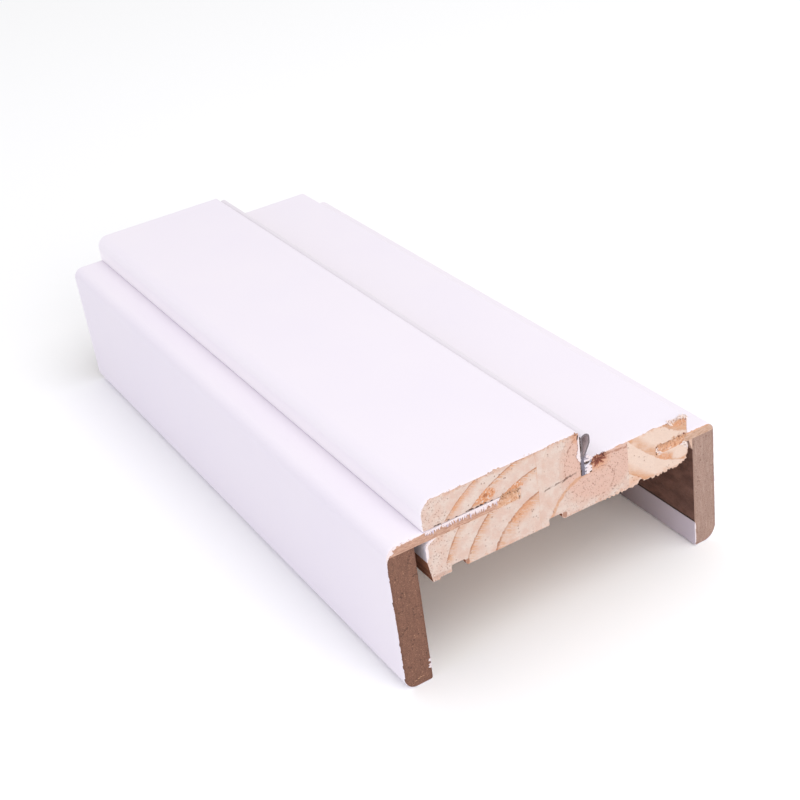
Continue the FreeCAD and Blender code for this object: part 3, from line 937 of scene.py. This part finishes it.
# Splinters: slivers rooted along a line between two section places. Each leans along a direction (x, out,
# z), where out is towards the viewer, or bursts away from the line's middle, and is a four-sided taper with
# a bend. Jitter scatters the roots, and wild the leans and bends.
splinters = {
    "splinters_at_step": Look(
        start=(56.4, -0.3), end=(57.2, -0.4), jitter=0.25, count=9, length=(0.7, 1.5),
        width=0.34, lean=(-0.1, 0.5, 0.8), wild=0.35, finish="tan", seed=5,
    ),
    "splinters_at_corner": Look(
        start=(92.4, -11.0), end=(99.4, -11.3), jitter=0.30, count=54, length=(0.6, 1.7),
        width=0.50, lean=(-0.3, 0.8, 0.6), wild=0.5, finish="tuft", seed=6,
    ),
    "splinters_of_corner_wood": Look(
        start=(92.6, -11.3), end=(99.6, -12.3), jitter=0.3, count=12, length=(0.5, 1.1),
        width=0.40, lean=(0.1, 0.8, 0.4), wild=0.5, finish="tan", seed=8,
    ),
    "splinters_of_resin": Look(
        start=(62.2, -12.4), end=(66.8, -11.6), jitter=0.30, count=26, length=(0.9, 1.9),
        width=0.50, lean=(-0.45, 0.35, 0.9), burst=0.25, wild=0.22, finish="brown", seed=9,
    ),
    "splinters_of_resin_rim": Look(
        start=(61.9, -12.4), end=(67.6, -11.5), jitter=0.25, count=10, length=(0.7, 1.4),
        width=0.42, lean=(-0.4, 0.35, 0.9), burst=0.25, wild=0.28, finish="tan", seed=22,
    ),
    "splinters_at_kerf": Look(
        start=(61.9, -12.6), end=(62.3, -13.4), jitter=0.2, count=9, length=(0.6, 1.2),
        width=0.36, lean=(-0.8, 0.5, 0.1), wild=0.3, finish="tan", seed=10,
    ),
    "splinters_over_tongue_tip": Look(
        start=(27.8, -9.7), end=(34.0, -9.4), jitter=0.35, count=24, length=(0.6, 1.4),
        width=0.46, lean=(0.4, 0.6, -0.6), wild=0.4, finish="honey", seed=11,
    ),
    "splinters_of_tongue_tip": Look(
        start=(28.0, -10.9), end=(34.2, -11.2), jitter=0.6, count=12, length=(0.4, 0.9),
        width=0.42, lean=(0.5, 0.6, 0.2), wild=0.5, finish="honey", seed=12, body=sliding,
    ),
    "splinters_at_fixed_tongue": Look(
        start=(87.6, -18.1), end=(99.5, -17.9), jitter=0.35, count=40, length=(0.5, 1.1),
        width=0.42, lean=(0.3, 0.6, -0.4), wild=0.5, finish="honey", seed=13,
    ),
    "splinters_under_fixed_tongue": Look(
        start=(87.2, -18.6), end=(88.6, -21.2), jitter=0.35, count=22, length=(0.5, 1.0),
        width=0.42, lean=(-0.1, 0.6, 0.0), wild=0.6, finish="tuft", seed=14,
    ),
    "splinters_under_rim": Look(
        start=(6.0, -0.25), end=(56.0, -0.25), jitter=0.25, count=60, length=(0.3, 0.9),
        width=0.30, lean=(0.3, 0.7, 0.1), wild=0.4, finish="pine", seed=16,
    ),
    "fringe_strands_left": Look(
        start=(0.6, -10.7), end=(13.0, -10.35), jitter=0.06, count=36, length=(0.7, 1.5),
        width=0.42, lean=(-0.12, 0.15, -1.0), wild=0.16, finish="foil", seed=18, body=sliding,
    ),
    "fringe_strands_right": Look(
        start=(13.0, -10.5), end=(26.6, -10.5), jitter=0.12, count=52, length=(0.6, 1.5),
        width=0.46, lean=(-0.22, 0.15, -1.0), wild=0.22, finish="foil", seed=19, body=sliding,
    ),
    # Painted shade: lilac strands for the shade between the white fringe strands
    "fringe_strands_shaded": Look(
        start=(1.0, -10.7), end=(26.6, -10.6), jitter=0.12, count=34, length=(0.7, 1.8),
        width=0.34, lean=(-0.15, 0.30, -1.0), wild=0.2, finish="lilac", seed=20, body=sliding,
    ),
}
sliver = Look(
    rings=5, rooted=(-0.05, 0.12), bend=0.8, across=(0.05, 1.0, 0.05), widths=(0.6, 1.2),
    taper=0.85, flatness=0.35,
)


def splinterCluster(name, settings):
    rng = np.random.default_rng(settings.seed)
    count, wild = settings.count, settings.wild
    start, end = np.array(settings.start), np.array(settings.end)
    root = start + (end - start) * rng.uniform(0, 1, (count, 1))
    root = root + rng.normal(0, settings.jitter, (count, 2))
    away = unit(root - (start + end) / 2)
    root = np.insert(root, 1, rng.uniform(*sliver.rooted, count), axis=1)
    burst = np.insert(away, 1, 0, axis=1) * settings.get("burst", 0.0)
    lean = unit(np.array(settings.lean) * (1, -1, 1) + burst + rng.normal(0, wild, (count, 3)))
    bend = rng.normal(0, wild * sliver.bend, (count, 3))
    length = rng.uniform(*settings.length, count)[:, None, None]
    along = np.linspace(0, 1, sliver.rings)
    curve = lean[:, None] * along[:, None] + bend[:, None] * along[:, None] ** 2 / 2
    centre = root[:, None] + curve * length
    sideways = unit(np.cross(lean, sliver.across))
    upward = np.cross(lean, sideways)
    width = settings.width * rng.uniform(*sliver.widths, count)
    half = width[:, None] * (1 - sliver.taper * along ** 2) / 2
    corner = np.array([(1, 1), (-1, 1), (-1, -1), (1, -1)]) * (1, sliver.flatness)
    offset = sideways[:, None] * corner[:, :1] + upward[:, None] * corner[:, 1:]
    points = centre[:, :, None] + offset[:, None] * half[:, :, None, None]
    cluster(name, points, tubeFaces(len(along), len(corner)), settings)


for clusterName, settings in splinters.items():
    splinterCluster(clusterName, settings)

# Crumbs: small rough lumps about section places, each a sphere with its points pushed in and out, squashed
# to the given size. The dark and shade ones are painted shadow in gaps
crumbs = {
    # Painted shadow: dark lumps for the shade in the gap under the groove's roof
    "painted_shadow_under_roof": Look(
        places=[
            (4.3, -9.75), (5.5, -9.8), (9.0, -9.75), (11.8, -9.9), (15.6, -9.7), (16.6, -9.65), (17.4, -9.7),
            (19.3, -9.8), (20.6, -9.75), (22.1, -9.7), (24.5, -9.9),
        ],
        size=(0.60, 0.14, 0.20), finish="dark", seed=41,
    ),
    # Painted shade: brown lumps for the shade in the gap at the tongue's tip
    "painted_shade_at_tongue_tip": Look(
        places=[(27.6, -10.3), (28.3, -10.35), (29.1, -10.3), (32.9, -10.4), (33.5, -10.6), (34.0, -10.9)],
        size=(0.44, 0.12, 0.32), finish="shade", seed=42, body=sliding,
    ),
    "filling_at_tongue_tip": Look(
        places=[(34.6, -10.9), (34.62, -11.6), (34.6, -12.2), (34.62, -12.8), (34.6, -13.5)],
        size=(0.44, 0.20, 0.50), finish="pine", seed=48,
    ),
    "crumbs_at_corner": Look(
        places=[
            (94.2, -11.0), (95.4, -11.1), (96.6, -10.9), (97.4, -11.2), (98.2, -10.9), (99.0, -11.4),
            (99.6, -12.0), (99.9, -13.0),
        ],
        size=(0.60, 0.44, 0.36), finish="tuft", seed=49,
    ),
    "specks_at_corner": Look(
        places=[(97.2, -11.5), (98.6, -11.2), (99.4, -12.6)],
        size=(0.20, 0.56, 0.18), finish="brown", seed=50,
    ),
    # Painted shadow: dark lumps for the shade in the gap beside the seal's stem
    "painted_shadow_beside_stem": Look(
        places=[(57.7, -11.4), (57.7, -12.9), (57.75, -14.2), (57.8, -15.4)],
        size=(0.18, 0.12, 0.70), finish="dark", seed=43,
    ),
    # Painted shadow: dark lumps for the shade in the gap beside the seal's bulb
    "painted_shadow_beside_bulb": Look(
        places=[(57.86, -2.3), (57.90, -3.4), (57.92, -4.5), (57.92, -5.6), (57.90, -6.5)],
        size=(0.25, 0.30, 0.72), finish="dark", seed=54,
    ),
    # Painted shadow: dark lumps for the shade along the step
    "painted_shadow_along_step": Look(
        places=[(57.15, -1.8), (57.3, -3.1), (57.4, -4.6), (57.4, -6.2), (57.3, -7.6), (57.35, -9.0)],
        size=(0.26, 0.14, 0.74), finish="dark", seed=52,
    ),
    # Painted shadow: dark lumps for the shade in the kerf's mouth
    "painted_shadow_in_kerf": Look(
        places=[(59.7, -11.85), (60.3, -11.95)],
        size=(0.74, 0.40, 0.50), finish="dark", seed=44,
    ),
    "adhesive_under_tongue": Look(
        places=[(98.3, -21.0), (98.9, -21.5), (99.4, -22.1), (98.0, -21.5), (99.1, -22.7)],
        size=(0.55, 0.22, 0.42), finish="pale", seed=45,
    ),
    "fibres_at_left_foot": Look(
        places=[(-9.6, -61.9), (-8.7, -61.5), (-7.8, -61.3), (-6.9, -61.4)],
        size=(0.50, 0.08, 0.09), finish="honey", seed=53, body=sliding,
    ),
    "adhesive_specks": Look(
        places=[(98.6, -21.25), (99.2, -22.3), (96.4, -17.8), (98.6, -17.7), (99.2, -17.9)],
        size=(0.24, 0.30, 0.20), finish="brown", seed=46,
    ),
    "seal_burrs": Look(
        places=[
            (60.5, -13.4), (61.0, -14.1), (60.3, -14.7), (61.2, -15.2), (60.2, -15.5), (60.4, -9.9),
            (61.2, -10.6),
        ],
        size=(0.86, 0.30, 0.52), finish="foil", seed=47,
    ),
}
lump = Look(subdivisions=2, rough=0.28, sizes=(0.7, 1.2), out=0.02)


def crumbCluster(name, settings):
    rng = np.random.default_rng(settings.seed)
    ball = bmesh.new()
    bmesh.ops.create_icosphere(ball, subdivisions=lump.subdivisions, radius=1.0)
    shape = np.array([v.co for v in ball.verts])
    faces = np.array([[v.index for v in face.verts] for face in ball.faces])
    ball.free()
    places = np.insert(settings.places, 1, -lump.out, axis=1)[:, None]
    rough = 1 + lump.rough * rng.normal(0, 1, (len(places), len(shape), 1))
    size = np.array(settings.size) * rng.uniform(*lump.sizes, (len(places), 1, 1))
    cluster(name, shape * rough * size + places, faces, settings)


for crumbName, settings in crumbs.items():
    crumbCluster(crumbName, settings)
print("splinters and crumbs made")

# Glue squeezed out under the fixed tongue, along the board's inner face: a wedge whose free side hangs from
# left to right and from top to low, and wanders. Straight is how much of its sag is straight.
glueBead = Look(
    left=100.7, right=102.14, top=-21.32, low=-25.6, rings=90, points=7, straight=0.45,
    wander=0.25, coarse=9.0, fine=4.0, seed=51,
)


def makeGlueBead():
    g = glueBead
    lengths = np.linspace(0, jambLength, g.rings)
    down = np.linspace(0, 1, g.points)
    coarse = unevenness(lengths, g.coarse, g.seed)[:, None] * g.wander
    fine = unevenness(lengths, g.fine, g.seed + 1)[:, None] * g.wander
    sag = g.straight * down + (1 - g.straight) * down ** 3
    freeX = g.left + (g.right - g.left) * sag + coarse * np.sin(down * math.pi)
    freeZ = g.top + (g.low - g.top) * down + fine * down
    boardZ = g.top + (freeZ[:, -1:] - g.top) * down
    free = toFrame(np.stack([freeX, freeZ], -1), lengths[:, None])
    board = toFrame(np.stack([np.full_like(freeX, g.right), boardZ], -1), lengths[:, None])
    skin("glue_bead", free, board, "glue", jamb)


makeGlueBead()

# Camera at the photograph's place, in millimetres from the jamb's upper left corner at the near end: where it
# is across the section and along it, where it looks and how far it is tipped to the side, in degrees
camera = Look(
    place=(-161.6, 240.1), along=-315.8, heading=26.924, down=29.978, tip=8.256,
    lens=66.197, sensor=36.0, clip=(0.01, 20.0),
)


# Turns a camera or a lamp to look along a direction, tipped to the side by an angle
def aim(made, direction, tip=0.0):
    made.rotation_mode = "QUATERNION"
    made.rotation_quaternion = direction.to_track_quat("-Z", "Y") @ Quaternion((0, 0, 1), -tip)


def makeCamera():
    heading, down, tip = (math.radians(camera[key]) for key in ("heading", "down", "tip"))
    level = math.cos(down)
    forward = Vector((math.sin(heading) * level, math.cos(heading) * level, -math.sin(down)))
    data = bpy.data.cameras.new("camera")
    data.lens, data.sensor_width = camera.lens, camera.sensor
    data.clip_start, data.clip_end = camera.clip
    scene.camera = link("camera", data)
    scene.camera.location = toFrame(np.array(camera.place), camera.along)
    aim(scene.camera, forward, tip)


# Floor: a wide pale sheet just under the foil, in metres
floor = Look(level=-0.0004, half=6.0, colour=(0.98, 0.98, 0.98, 1.0), rough=0.9, shine=0.1)


def makeFloor():
    half, level = floor.half, floor.level
    corners = [(-half, -half, level), (half, -half, level), (half, half, level), (-half, half, level)]
    mesh = bpy.data.meshes.new("floor")
    mesh.from_pydata(corners, [], [(0, 1, 2, 3)])
    material = bpy.data.materials.new("floor")
    material.use_nodes = True
    inputs = material.node_tree.nodes["Principled BSDF"].inputs
    inputs["Base Color"].default_value = floor.colour
    inputs["Roughness"].default_value = floor.rough
    inputs["Specular IOR Level"].default_value = floor.shine
    mesh.materials.append(material)
    link("floor", mesh)


# Lights: an even white sky and three square lamps that look at the middle of the floor, in metres and watts
sky = Look(colour=(1.0, 1.0, 1.0, 1.0), strength=0.82)
lamps = {
    "key": Look(place=(0.4, -0.9, 1.8), size=1.2, power=9.5, colour=(1.0, 1.0, 1.0)),
    "front": Look(place=(0.05, -1.46, 0.65), size=0.9, power=8.0, colour=(1.0, 1.0, 1.0)),
    "side": Look(place=(-1.6, -0.3, 0.9), size=0.9, power=2.0, colour=(0.3, 0.25, 1.0)),
}


def makeLights():
    world = bpy.data.worlds.new("studio")
    world.use_nodes = True
    background = world.node_tree.nodes["Background"].inputs
    background["Color"].default_value = sky.colour
    background["Strength"].default_value = sky.strength
    scene.world = world
    for name, lamp in lamps.items():
        data = bpy.data.lights.new(name, "AREA")
        data.size, data.energy, data.color = lamp.size, lamp.power, lamp.colour
        made = link(name, data)
        made.location = lamp.place
        aim(made, -Vector(lamp.place))


makeCamera()
makeFloor()
makeLights()
scene.view_settings.view_transform = "Standard"
print("stage set")
